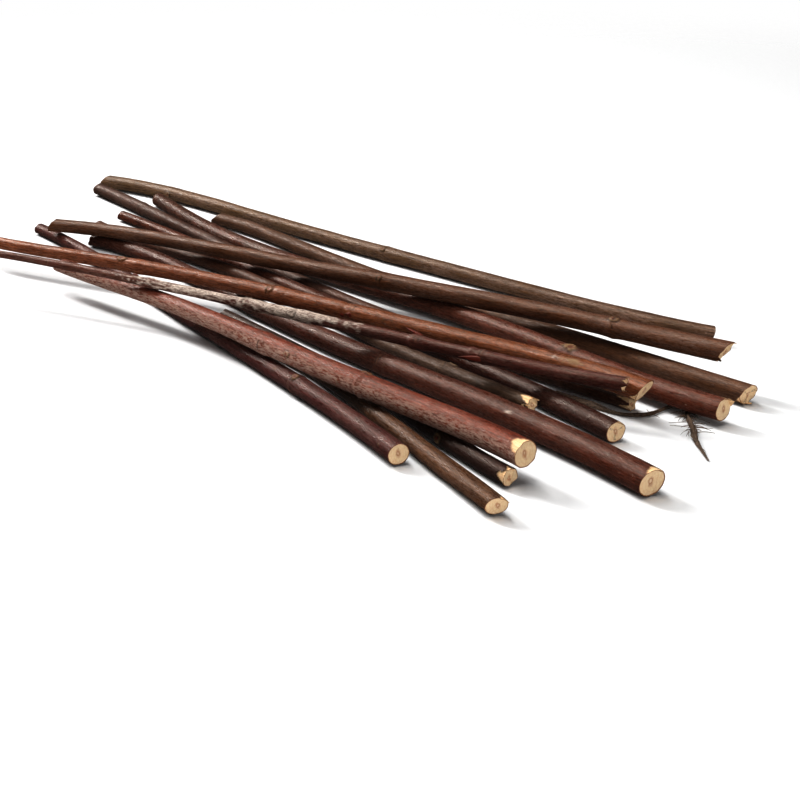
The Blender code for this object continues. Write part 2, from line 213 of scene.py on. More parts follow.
class Line:
    """The middle line and the thickness of a twig, measured on its solid, in millimetres."""

    def __init__(self, node, skip):
        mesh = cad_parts[node].data
        points = np.array([vert.co for vert in mesh.vertices]) / MM
        edges = np.array([edge.vertices for edge in mesh.edges])
        middle = points.mean(axis=0)
        axis = np.linalg.svd(points - middle, full_matrices=False)[2][0]
        self.axis = -axis if axis[0] > 0 else axis
        reach = (points - middle) @ self.axis
        self.length = reach.max() - reach.min()
        self.start = middle + self.axis * reach.min()
        level = np.array((self.axis[1], -self.axis[0], 0.0))
        self.level = level / np.linalg.norm(level)
        self.rise = np.cross(self.level, self.axis)
        if self.rise[2] < 0:
            self.rise = -self.rise
        local = points - self.start
        along = local @ self.axis
        stations = np.linspace(skip, self.length - END_SKIP, STATIONS)
        sides = np.column_stack((local @ self.level, local @ self.rise))
        centres = []
        sizes = []
        for at in stations:
            first, second = along[edges[:, 0]], along[edges[:, 1]]
            crossing = (first - at) * (second - at) < 0
            share = ((at - first) / np.where(first == second, 1, second - first))[crossing, None]
            cut = sides[edges[crossing, 0]] * (1 - share) + sides[edges[crossing, 1]] * share
            centre = np.median(cut, axis=0)
            for _ in range(3):
                spread = np.linalg.norm(cut - centre, axis=1)
                kept = cut[spread <= np.percentile(spread, 80) * 1.02]
                centre = (kept.max(axis=0) + kept.min(axis=0)) / 2
            centres.append(centre)
            sizes.append(np.percentile(np.linalg.norm(cut - centre, axis=1), 60))
        self.bow = [np.polynomial.Polynomial.fit(stations, offsets, LINE_DEGREE)
                    for offsets in np.array(centres).T]
        self.stations = stations
        self.sizes = np.array(sizes)

    def centre(self, at):
        """The middle of the twig at distances from the cut."""
        at = np.asarray(at, float)
        return (self.start + at[..., None] * self.axis + self.bow[0](at)[..., None] * self.level
                + self.bow[1](at)[..., None] * self.rise)

    def frames(self, at):
        """Directions ahead, up and towards -Y at distances from the cut."""
        ahead = self.centre(np.asarray(at) + 0.5) - self.centre(np.asarray(at) - 0.5)
        ahead /= np.linalg.norm(ahead, axis=-1, keepdims=True)
        up = UP - ahead * ahead[..., 2:3]
        up /= np.linalg.norm(up, axis=-1, keepdims=True)
        side = np.cross(up, ahead)
        side *= np.where(side[..., 1:2] > 0, -1, 1)
        return ahead, up, side

    def radius(self, at):
        """Half the twig's thickness at distances from the cut."""
        return np.interp(at, self.stations, self.sizes)


# The mask of dark marks also carries painted shade in knot creases and round the foot of scar pads,
# and a painted shadow beside each dot.
MASKS = ("wood", "cork", "lichen", "red", "dark", "bloom")


class Piece:
    """Gathers closed shells, with what the materials read at each point, into one object."""

    def __init__(self):
        self.points = []
        self.faces = []
        self.slots = []
        self.straight = []
        self.face = []
        self.masks = {name: [] for name in MASKS}
        self.count = 0

    def add(self, points, faces, slot=0, straight=None, face=None, **masks):
        """Adds a shell, lifted to the surface where it would sink in."""
        points = np.array(points, float).reshape(-1, 3)
        points[:, 2] = np.maximum(points[:, 2], 0)
        size = len(points)
        self.points.append(points)
        self.faces += [tuple(int(v) + self.count for v in corners) for corners in faces]
        self.slots += list(slot) if np.ndim(slot) else [slot] * len(faces)
        self.straight.append(points if straight is None else np.reshape(straight, (-1, 3)))
        self.face.append(np.full((size, 3), 0.5) if face is None else np.reshape(face, (-1, 3)))
        for name in MASKS:
            self.masks[name].append(np.broadcast_to(masks.get(name, 0.0), (size,)))
        self.count += size

    def build(self, node, materials, sharp=50):
        """Makes the object that takes the node's place."""
        mesh = bpy.data.meshes.new(node + "_finish")
        points = np.concatenate(self.points) * MM
        mesh.from_pydata(points.tolist(), [], self.faces)
        for material in materials:
            mesh.materials.append(material)
        mesh.polygons.foreach_set("material_index", np.array(self.slots, np.int32))
        for name, rows in (("straight", self.straight), ("cut_face", self.face)):
            layer = mesh.attributes.new(name, "FLOAT_VECTOR", "POINT")
            layer.data.foreach_set("vector", np.concatenate(rows).astype(np.float32).ravel())
        for name in MASKS:
            layer = mesh.attributes.new(name, "FLOAT", "POINT")
            layer.data.foreach_set("value", np.concatenate(self.masks[name]).astype(np.float32))
        mesh.validate()
        mesh.shade_smooth()
        mesh.set_sharp_from_angle(angle=math.radians(sharp))
        obj = bpy.data.objects.new(node + "_finish", mesh)
        bpy.context.scene.collection.objects.link(obj)
        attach(obj, "root")
        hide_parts(node)


def ring_places(length, marks):
    """Distances of the rings from the cut: close together there and at each mark."""
    places = [0.0]
    while places[-1] < length - FINE_STEP:
        here = places[-1]
        away = min(max(here - CUT_FINE, 0), max(length - TIP_FINE - here, 0))
        for at in marks:
            away = min(away, max(abs(here - at) - KNOT_FINE, 0))
        places.append(here + min(FINE_STEP + STEP_GROWTH * away, PLAIN_STEP))
    places[-1] = length
    return np.array(places)


def cut_depth(look, seed, across, radius):
    """How far a cut face lies behind the end of the twig, at points across it from -1 to 1."""
    lean, longest = look.get("slant", (0, 0))
    x, y = across[..., 0], across[..., 1]
    turn = math.radians(longest)
    toward = x * math.cos(turn) + y * math.sin(turn)
    depth = radius * (1 - toward) * math.tan(math.radians(lean))
    rng = np.random.default_rng(seed)
    for _ in range(10):
        direction = rng.uniform(0, TAU)
        pitch = rng.uniform(3, 9)
        phase = rng.uniform(0, TAU)
        wave = np.sin((x * math.cos(direction) + y * math.sin(direction)) * pitch + phase)
        depth = depth + 0.018 * wave
        tear = look.get("tear", 0)
        depth = depth + tear * 0.1 * (1 + np.sign(wave) * np.abs(wave) ** 0.4)
    return np.maximum(depth, 0)


def peel_mask(look, seed, along, around, rims):
    """1 where the bark is torn off at the cut, in pointed tongues that run back from it."""
    mask = np.zeros_like(along)
    wobble = bark_noise(seed, along, around, 0.9, 14) * 0.22
    for turn, half, length in look.get("peels", ()):
        side = np.abs(angle_apart(around, turn)) / math.radians(half)
        inside = 1 - side - (along - rims) / length + wobble
        mask = np.maximum(mask, smooth_step(inside * 7))
    return mask


def patch_mask(seed, along, around, length, patch):
    """An irregular patch of another skin on the bark."""
    share, half_length, turn, half_span, _ = patch
    ahead = (along - share * length) / half_length
    side = angle_apart(around, turn) / math.radians(half_span)
    broken = bark_noise(seed, along, around, 2.6, 18) * 0.45
    broken += bark_noise(seed + 1, along, around, 1.0, 30) * 0.35
    return smooth_step((1 - np.hypot(ahead, side) + broken) * 2.2)


def raise_rings(look, length, along, turn, seed, height, masks):
    """Low broken ridges and creases round the twig at its knots, with painted shade in the creases.
    """
    for number, (share, facing, span, strength) in enumerate(look.get("rings", ())):
        wander = bark_noise(seed + 20 + number, along, turn, 40, 9) * 0.6
        off = along - share * length + wander
        side = smooth_step((1 - np.abs(angle_apart(turn, facing)) / math.radians(span)) * 2.5)
        broken = smooth_step(0.5 + 0.9 * bark_noise(seed + 40 + number, along, turn, 1.1, 16))
        ridge = np.exp(-((off / 0.5) ** 2)) + 0.7 * np.exp(-(((off - 1.3) / 0.4) ** 2))
        crease = np.exp(-(((off - 0.7) / 0.26) ** 2)) + np.exp(-(((off + 0.9) / 0.3) ** 2))
        height += RING_RELIEF * strength * side * broken * (ridge - crease)
        masks["cork"] = np.maximum(masks["cork"], 0.4 * strength * side * broken * ridge)
        # painted shade in the creases
        masks["dark"] = np.maximum(masks["dark"], 0.9 * side * broken * np.clip(crease, 0, 1))


def raise_scars(look, length, along, turn, radius, seed, height, masks):
    """Pads with a corky rim and a sunken reddish middle, where a leaf or side shoot stood, with
    painted shade round each pad's foot.
    """
    for share, facing, scar_length, scar_width in look.get("scars", ()):
        ahead = (along - share * length) / (scar_length / 2)
        beside = angle_apart(turn, facing) * radius / (scar_width / 2)
        spread = np.hypot(ahead, beside) + 0.22 * bark_noise(seed + 30, along, turn, 1.0, 16)
        pad = smooth_step((1.25 - spread) * 2.2)
        rim = np.exp(-(((spread - 0.85) / 0.22) ** 2))
        height += 0.28 * pad + 0.12 * rim - 0.16 * np.exp(-((spread / 0.45) ** 2))
        masks["cork"] = np.maximum(masks["cork"], 0.9 * rim)
        masks["red"] = np.maximum(masks["red"], 0.6 * smooth_step((0.6 - spread) * 3))
        # painted shade round the foot of the pad
        masks["dark"] = np.maximum(masks["dark"], 0.7 * np.exp(-(((spread - 1.25) / 0.2) ** 2)))


def raise_dots(look, length, along, turn, radius, seed, height, masks):
    """Small raised pores: those that show in the photo, and others scattered over the bark."""
    rng = np.random.default_rng(seed + 7)
    spots = [(share * length, math.radians(facing), 0.5) for share, facing in look.get("dots", ())]
    for _ in range(int(length / DOTS_APART)):
        spots.append((rng.uniform(4, length - 4), rng.uniform(0, TAU), rng.uniform(0.18, 0.4)))
    for at, facing, size in spots:
        ahead = (along - at) / (size * 1.3)
        beside = wrap(turn - facing) * radius / size
        spot = np.exp(-(ahead**2 + beside**2))
        height += 0.16 * size * spot
        masks["cork"] = np.maximum(masks["cork"], 0.5 * spot)
        # painted shadow just beside the dot, a little further round in the direction of the turn
        masks["dark"] = np.maximum(masks["dark"], 0.7 * np.exp(-(ahead**2 + (beside - 1.2) ** 2)))


def raise_patches(look, length, along, turn, seed, height, masks):
    """Patches of cork or lichen, a little proud of the bark."""
    for number, patch in enumerate(look.get("patches", ())):
        mask = patch_mask(seed + 60 + 2 * number, along, turn, length, patch)
        masks[patch[4]] = np.maximum(masks[patch[4]], mask)
        grain = bark_noise(seed + 80 + number, along, turn, 0.6, 40)
        height += mask * (0.05 + 0.05 * grain)


def end_rows(line, pith, rim_across, rim_size, at, sign, depth_of):
    """Rings of an end from its middle to just inside the rim, with what its material reads."""
    rows = []
    seen = []
    for share in np.linspace(0, 1, FACE_RINGS + 1)[1:-1]:
        across = share * rim_across
        depth = depth_of(across)
        centre = line.centre(at + sign * depth)
        _, up, side = line.frames(at + sign * depth)
        arm = up * across[:, :1] + side * across[:, 1:]
        rows.append(centre + arm * rim_size[:, None])
        own = np.linalg.norm(across, axis=1)[:, None]
        seen.append(across - pith * (1 - own**2))
    middle = line.centre(at + sign * depth_of(np.zeros((1, 2))))
    return rows, middle, seen


def add_skin(piece, line, look, seed):
    """One closed skin: the cut face, the bark with its marks, and the far end."""
    length = line.length
    marks = [row[0] * length for key in ("rings", "scars", "buds") for row in look.get(key, ())]
    places = ring_places(length, marks)
    around = np.arange(SIDES) / SIDES * TAU
    along, turn = np.meshgrid(places, around, indexing="ij")

    rim_radius = float(line.radius(END_SKIP))
    rim_across = np.column_stack((np.cos(around), np.sin(around)))
    rim_depth = cut_depth(look, seed, rim_across, rim_radius)
    fade = max(4 * rim_depth.max(), 1.0)
    along = along + rim_depth[None] * np.clip(1 - along / fade, 0, 1)

    tip_look = dict(slant=look.get("tip", TIP), tear=TIP_TEAR)
    tip_radius = float(line.radius(length))
    tip_depth = cut_depth(tip_look, seed + 13, rim_across, tip_radius)
    tip_fade = max(3 * tip_depth.max(), 1.0)
    along = along - tip_depth[None] * np.clip(1 - (length - along) / tip_fade, 0, 1)

    radius = line.radius(along)
    height = np.zeros_like(radius)
    height += radius * 0.018 * np.cos(2 * (turn - bark_noise(seed, along, turn * 0, 60, 4) * 2))
    height += radius * 0.020 * bark_noise(seed + 1, along, turn, 14, 5)
    height += 0.030 * bark_noise(seed + 2, along, turn, 7, 26)
    height += 0.022 * bark_noise(seed + 3, along, turn, 2.2, 20)
    masks = {name: np.zeros_like(radius) for name in MASKS}
    raise_rings(look, length, along, turn, seed, height, masks)
    raise_scars(look, length, along, turn, radius, seed, height, masks)
    raise_dots(look, length, along, turn, radius, seed, height, masks)
    raise_patches(look, length, along, turn, seed, height, masks)

    masks["bloom"] = look["bloom"] * (0.5 + 0.5 * bark_noise(seed + 9, along, turn, 16, 5))
    low = smooth_step((np.cos(angle_apart(turn, LOW_SIDE)) - 0.1) * 1.4)
    masks["bloom"] = np.maximum(masks["bloom"], look.get("low_bloom", 0) * low)

    peel = peel_mask(look, seed + 11, along, turn, rim_depth[None])
    masks["wood"] = peel
    for name in ("cork", "dark", "lichen", "red"):
        masks[name] = masks[name] * (1 - peel)
    height -= peel * BARK_DEPTH
    lip = np.clip(1 - (along - rim_depth[None]) / 0.5, 0, 1)
    height += (1 - peel) * lip * 0.05 * bark_noise(seed + 12, along, turn, 3, 22)

    size = radius + height
    _, up, side = line.frames(along)
    outward = up * np.cos(turn)[..., None] + side * np.sin(turn)[..., None]
    skin = line.centre(along) + outward * size[..., None]
    straight = np.stack((along, size * np.cos(turn), size * np.sin(turn)), axis=-1)

    pith = np.array(look["pith"])
    near_rows, near_middle, near_seen = end_rows(
        line, pith, rim_across, size[0], 0.0, 1,
        lambda across: cut_depth(look, seed, across, rim_radius))
    far_rows, far_middle, far_seen = end_rows(
        line, pith, rim_across, size[-1], length, -1,
        lambda across: cut_depth(tip_look, seed + 13, across, tip_radius))

    rows = [*near_rows, *skin, *reversed(far_rows)]
    points = np.concatenate([near_middle, *rows, far_middle])
    heart = -pith[None]
    seen = [heart, *near_seen, np.tile(rim_across, (len(places), 1)), *reversed(far_seen), heart]
    seen = np.concatenate(seen)
    face = np.column_stack((seen, np.full(len(seen), rim_radius)))
    inner = 1 + len(near_rows) * SIDES
    straight = np.concatenate([
        np.tile(straight[0].mean(axis=0), (inner, 1)),
        straight.reshape(-1, 3),
        np.tile(straight[-1].mean(axis=0), (inner, 1)),
    ])
    spread = {name: np.concatenate((np.zeros(inner), mask.ravel(), np.zeros(inner)))
              for name, mask in masks.items()}

    slots = []
    for row in range(-1, len(rows)):
        at_cut = row < len(near_rows)
        bark = not at_cut and row < len(near_rows) + len(places) - 1
        slots += [1 if at_cut else 0 if bark else 2] * SIDES
    piece.add(points, shell_faces(points, SIDES), slots, straight, face, **spread)


def shell_volume(points, faces):
    """Signed volume of a shell, positive if its faces point out."""
    total = 0.0
    points = np.asarray(points, float) - np.mean(points, axis=0)
    for size in (3, 4):
        rows = np.array([corners for corners in faces if len(corners) == size])
        if not len(rows):
            continue
        for k in range(1, size - 1):
            a, b, c = points[rows[:, 0]], points[rows[:, k]], points[rows[:, k + 1]]
            total += np.einsum("ij,ij->", a, np.cross(b, c))
    return total


def shell_faces(points, sides):
    """Outward faces of a shell of rings of points between a first point and a last one."""
    pairs = [(k, (k + 1) % sides) for k in range(sides)]
    tip = len(points) - 1
    last = tip - sides
    faces = [(0, 1 + k, 1 + after) for k, after in pairs]
    for base in range(1, last, sides):
        ahead = base + sides
        faces += [(base + k, ahead + k, ahead + after, base + after) for k, after in pairs]
    faces += [(tip, last + after, last + k) for k, after in pairs]
    if shell_volume(points, faces) < 0:
        faces = [corners[::-1] for corners in faces]
    return faces


def tube(route, radii, sides):
    """Points and faces of a closed tapered tube along a route."""
    route = np.asarray(route, float)
    ahead = np.gradient(route, axis=0)
    ahead /= np.linalg.norm(ahead, axis=1, keepdims=True)
    up = UP if abs(ahead[0][2]) < 0.9 else np.array((1.0, 0, 0))
    angles = np.arange(sides)[:, None] / sides * TAU
    rings = []
    for point, forward, radius in zip(route, ahead, radii):
        side = np.cross(forward, up)
        side /= np.linalg.norm(side)
        up = np.cross(side, forward)
        rings.append(point + radius * (np.cos(angles) * side + np.sin(angles) * up))
    points = np.concatenate([route[:1], *rings, route[-1:]])
    return points, shell_faces(points, sides)


SHARD_STEPS = 9
SHARD_SIDES = 10
SHARD_ROOT = 1.2       # how far back in the bark a splinter starts, in millimetres
SHARD_SINK = 0.35      # how deep under the bark's surface it starts
SHARD_THICK = 0.24     # half its thickness at the root
SHARD_CURL = 2.2       # power of the distance at which it curls away


def add_shard(piece, line, look, seed, index, turn, length, width):
    """A splinter of bark left standing at the cut, as a thin blade that curls out to a point."""
    rng = np.random.default_rng(seed + index)
    facing = math.radians(turn)
    radius = float(line.radius(END_SKIP))
    across = np.array([[math.cos(facing), math.sin(facing)]])
    rim = cut_depth(look, seed, across, radius)
    ahead, up, side = (row[0] for row in line.frames(rim))
    outward = up * math.cos(facing) + side * math.sin(facing)
    beside = np.cross(ahead, outward)
    root = line.centre(rim)[0] + outward * (radius - SHARD_SINK) + ahead * SHARD_ROOT
    lift = rng.uniform(0.05, 0.3) * length
    sway = rng.uniform(-0.4, 0.4) * width
    whole = length + SHARD_ROOT
    angles = np.arange(SHARD_SIDES)[:, None] / SHARD_SIDES * TAU
    rows = []
    for share in np.linspace(0, 1, SHARD_STEPS):
        centre = root - ahead * whole * share + outward * lift * share**SHARD_CURL
        centre += beside * sway * share**1.6
        wave = 1 + 0.25 * math.sin(7 * share + seed + index)
        half_width = width / 2 * (1 - share**3) * wave + 0.05
        half_thick = SHARD_THICK * (1 - 0.7 * share)
        rows.append(centre + half_width * np.cos(angles) * beside
                    + half_thick * np.sin(angles) * outward)
    points = np.concatenate([[rows[0].mean(axis=0)], *rows, [rows[-1].mean(axis=0)]])
    local = points - root
    reach, height = local @ ahead, local @ outward
    straight = np.column_stack((reach, local @ beside, height + radius))
    middle = lift * (np.clip(-reach, 0, None) / whole) ** SHARD_CURL
    inner = smooth_step(0.5 - (height - middle) * 6)
    piece.add(points, shell_faces(points, SHARD_SIDES), 0, straight,
              wood=inner, dark=0.25 * (1 - inner))


BUD_SIDES = 20
BUD_RINGS = 26
BUD_ROOT = 0.8         # how far back a bud starts, in millimetres
BUD_SINK = 0.86        # of the twig's radius, where the bud's middle leaves the bark


def add_bud(piece, line, share, facing, length, width, lean):
    """A pointed bud that lies along the bark, with overlapping scales."""
    at = share * line.length
    ahead, up, side = (row[0] for row in line.frames(np.array([at])))
    turn = math.radians(facing)
    outward = up * math.cos(turn) + side * math.sin(turn)
    across = np.cross(ahead, outward)
    foot = line.centre(np.array([at]))[0] + outward * (line.radius(at) * BUD_SINK)
    tilt = math.radians(lean)
    growth = ahead * math.cos(tilt) + outward * math.sin(tilt)
    depth = np.cross(across, growth)
    if depth @ outward < 0:
        depth = -depth
    angles = np.arange(BUD_SIDES)[:, None] / BUD_SIDES * TAU
    rows = []
    for part in np.linspace(0, 1, BUD_RINGS)[1:-1]:
        full = math.sin(math.pi * part**0.55) ** 0.8 * (1 - 0.25 * part)
        ridges = 0.07 * np.cos(2 * angles + 5 * part) * (1 - part)
        scales = 0.05 * ((part * 4 + angles / TAU) % 1 - 0.5)
        size = width / 2 * full * (1 + ridges + scales)
        rows.append(foot + growth * (length * part - BUD_ROOT)
                    + size * (np.cos(angles) * across + 0.8 * np.sin(angles) * depth))
    root = foot - growth * BUD_ROOT
    points = np.concatenate([[root], *rows, [root + growth * length]])
    local = points - foot
    reach = local @ growth
    straight = np.column_stack((reach + at, local @ across, local @ depth + line.radius(at)))
    along = np.clip((reach + BUD_ROOT) / length, 0, 1)
    piece.add(points, shell_faces(points, BUD_SIDES), 0, straight,
              red=0.9, cork=0.8 * smooth_step((0.22 - along) * 6), dark=0.3 * along)


class Nodes:
    """Short ways to add and join the nodes of one material."""

    def __init__(self, name):
        self.material = bpy.data.materials.new(name)
        self.material.use_nodes = True
        self.tree = self.material.node_tree
        self.shader = self.tree.nodes["Principled BSDF"]

    def feed(self, socket, value):
        """Links an output to a socket, or sets the socket to a plain value."""
        if isinstance(value, bpy.types.NodeSocket):
            self.tree.links.new(value, socket)
        else:
            socket.default_value = value

    def read(self, name, output="Fac"):
        """What a piece carries under a name at each point."""
        node = self.tree.nodes.new("ShaderNodeAttribute")
        node.attribute_name = name
        return node.outputs[output]

    def math(self, operation, first, second=0.0):
        node = self.tree.nodes.new("ShaderNodeMath")
        node.operation = operation
        self.feed(node.inputs[0], first)
        self.feed(node.inputs[1], second)
        return node.outputs[0]

    def stretch(self, vector, scale):
        node = self.tree.nodes.new("ShaderNodeVectorMath")
        node.operation = "MULTIPLY"
        self.feed(node.inputs[0], vector)
        self.feed(node.inputs[1], scale)
        return node.outputs[0]

    def noise(self, vector, scale, detail, roughness):
        node = self.tree.nodes.new("ShaderNodeTexNoise")
        self.feed(node.inputs["Vector"], vector)
        self.feed(node.inputs["Scale"], scale)
        self.feed(node.inputs["Detail"], detail)
        self.feed(node.inputs["Roughness"], roughness)
        return node.outputs["Fac"]

    def stray(self, noise, size):
        """A noise moved to lie about zero, and scaled."""
        return self.math("MULTIPLY", self.math("SUBTRACT", noise, 0.5), size)

    def distance(self, first, second):
        """Length of the diagonal of two sides."""
        squares = [self.math("MULTIPLY", given, given) for given in (first, second)]
        return self.math("SQRT", self.math("ADD", *squares))

    def cells(self, vector, scale):
        """Distance to the nearest of many scattered points."""
        node = self.tree.nodes.new("ShaderNodeTexVoronoi")
        self.feed(node.inputs["Vector"], vector)
        self.feed(node.inputs["Scale"], scale)
        return node.outputs["Distance"]

    def span(self, value, low, high, bottom=0.0, top=1.0):
        """The value from low to high, smoothly mapped from bottom to top."""
        node = self.tree.nodes.new("ShaderNodeMapRange")
        node.interpolation_type = "SMOOTHSTEP"
        for socket, given in zip(node.inputs[:5], (value, low, high, bottom, top)):
            self.feed(socket, given)
        return node.outputs[0]

    def blend(self, amount, first, second, kind="MIX"):
        """The first colour with an amount of the second in it."""
        node = self.tree.nodes.new("ShaderNodeMix")
        node.data_type = "RGBA"
        node.blend_type = kind
        sockets = (node.inputs[0], node.inputs[6], node.inputs[7])
        for socket, given in zip(sockets, (amount, first, second)):
            if not isinstance(given, bpy.types.NodeSocket) and np.ndim(given):
                given = (*given, 1.0)
            self.feed(socket, given)
        return node.outputs[2]

    def bump(self, height, distance, strength=1.0, normal=None):
        node = self.tree.nodes.new("ShaderNodeBump")
        self.feed(node.inputs["Height"], height)
        self.feed(node.inputs["Distance"], distance)
        self.feed(node.inputs["Strength"], strength)
        if normal is not None:
            self.feed(node.inputs["Normal"], normal)
        return node.outputs["Normal"]


BARK_SPECULAR = 0.36
BARK_SHEEN = (1.0, 0.8, 0.64)      # tint of the shine on the bark
WOOD_SPECULAR = 0.3
WEATHERED = (0.3, 0.25, 0.2)       # share of a fresh cut's colour that an old end keeps

# near black of dark marks, of painted shade in creases and round scar pads, and of painted shadows
# beside dots
BLACK = srgb(16, 9, 7)
BLOOM = srgb(172, 144, 130)
CORK = (srgb(84, 60, 42), srgb(176, 146, 108))
RED = (srgb(60, 20, 16), srgb(132, 52, 36))
CRUST = (srgb(132, 106, 94), srgb(226, 212, 198))
WOOD = srgb(252, 224, 184)
WOOD_DARK = srgb(226, 182, 134)
KNIFE_MARK = srgb(255, 236, 206)
# painted highlight at the middle of the pith
PAINTED_PITH_HIGHLIGHT = srgb(246, 222, 192)
PITH_RING = srgb(186, 124, 88)
CRACK = srgb(66, 38, 24)
RIM = (srgb(168, 116, 80), srgb(92, 54, 40))
ROOT = (srgb(36, 28, 22), srgb(124, 100, 80))
PAPER = ((0.74, 0.74, 0.74), (0.78, 0.78, 0.78))


def bark_material(name, look, length):
    """Bark with streaks along the twig, blotches, bloom, scars, lichen and torn wood."""
    n = Nodes(name)
    straight = n.read("straight", "Vector")
    streaks = n.noise(n.stretch(straight, (0.06, 1, 1)), 1.9, 9, 0.78)
    fine = n.noise(n.stretch(straight, (0.14, 1, 1)), 2.9, 7, 0.82)
    blotch = n.noise(n.stretch(straight, (0.16, 0.6, 0.6)), 0.5, 5, 0.6)
    specks = n.noise(n.stretch(straight, (0.5, 1, 1)), 2.0, 5, 0.8)
    dots = n.cells(n.stretch(straight, (0.45, 1, 1)), 0.42)
    split = n.tree.nodes.new("ShaderNodeSeparateXYZ")
    n.feed(split.inputs[0], straight)
    share = n.math("DIVIDE", split.outputs[0], length)
    near, far = srgb(*look["near"]), srgb(*look["far"])
    colour = n.blend(n.span(share, 0.05, 0.85), near, far)
    paler = tuple(min(1, c * 1.9 + 0.012) for c in near)
    darker = tuple(c * k for c, k in zip(near, (0.32, 0.26, 0.24)))
    colour = n.blend(n.span(blotch, 0.42, 0.72, 0, 0.45), colour, paler)
    colour = n.blend(n.span(streaks, 0.4, 0.57, 0.85, 0), colour, darker)
    colour = n.blend(n.span(fine, 0.5, 0.66, 0, 0.65), colour, paler)
    colour = n.blend(n.span(fine, 0.36, 0.48, 0.7, 0), colour, darker)
    patchy = n.noise(n.stretch(straight, (0.25, 1, 1)), 1.9, 8, 0.8)
    bloom = n.math("MULTIPLY", n.read("bloom"), n.span(patchy, 0.42, 0.55))
    colour = n.blend(bloom, colour, BLOOM)
    colour = n.blend(n.span(specks, 0.62, 0.7, 0, 0.75), colour, darker)
    spotted = n.math("MULTIPLY", n.span(dots, 0.04, 0.13, 0.6, 0), n.span(specks, 0.4, 0.6))
    colour = n.blend(spotted, colour, BLOOM)
    rough_cork = n.math("MULTIPLY", n.read("cork"), n.span(fine, 0.3, 0.6, 0.4, 1.0))
    colour = n.blend(rough_cork, colour, n.blend(fine, *CORK))
    colour = n.blend(n.read("red"), colour, n.blend(n.span(streaks, 0.3, 0.7), *RED))
    flakes = n.span(n.noise(n.stretch(straight, (0.6, 1, 1)), 1.5, 9, 0.85), 0.36, 0.52)
    crust = n.math("MULTIPLY", n.read("lichen"), flakes)
    colour = n.blend(crust, colour, n.blend(n.span(fine, 0.35, 0.6), *CRUST))
    # dark marks, with painted shade in creases and round scar pads and painted shadows beside dots
    colour = n.blend(n.math("MULTIPLY", n.read("dark"), 0.8), colour, BLACK)
    grain = n.noise(n.stretch(straight, (0.06, 1, 1)), 4.2, 6, 0.75)
    colour = n.blend(n.read("wood"), colour, n.blend(n.span(grain, 0.35, 0.65), WOOD_DARK, WOOD))
    n.feed(n.shader.inputs["Base Color"], colour)
    worn = n.noise(n.stretch(straight, (0.2, 1, 1)), 1.3, 6, 0.75)
    rough = n.span(worn, 0.38, 0.62, look["gloss"] - 0.22, look["gloss"] + 0.18)
    dull = n.math("ADD", n.read("wood"), n.math("ADD", rough_cork, crust))
    rough = n.math("MINIMUM", n.math("ADD", rough, n.math("MULTIPLY", dull, 0.4)), 0.95)
    n.feed(n.shader.inputs["Roughness"], rough)
    n.shader.inputs["Specular IOR Level"].default_value = BARK_SPECULAR
    n.shader.inputs["Specular Tint"].default_value = (*BARK_SHEEN, 1)
    grooves = n.bump(streaks, 0.0003, 0.5)
    grain_bump = n.bump(fine, 0.0001, 0.6, grooves)
    uneven = n.bump(n.math("ADD", specks, crust), 0.00014, 0.6, grain_bump)
    n.feed(n.shader.inputs["Normal"], uneven)
    return n.material


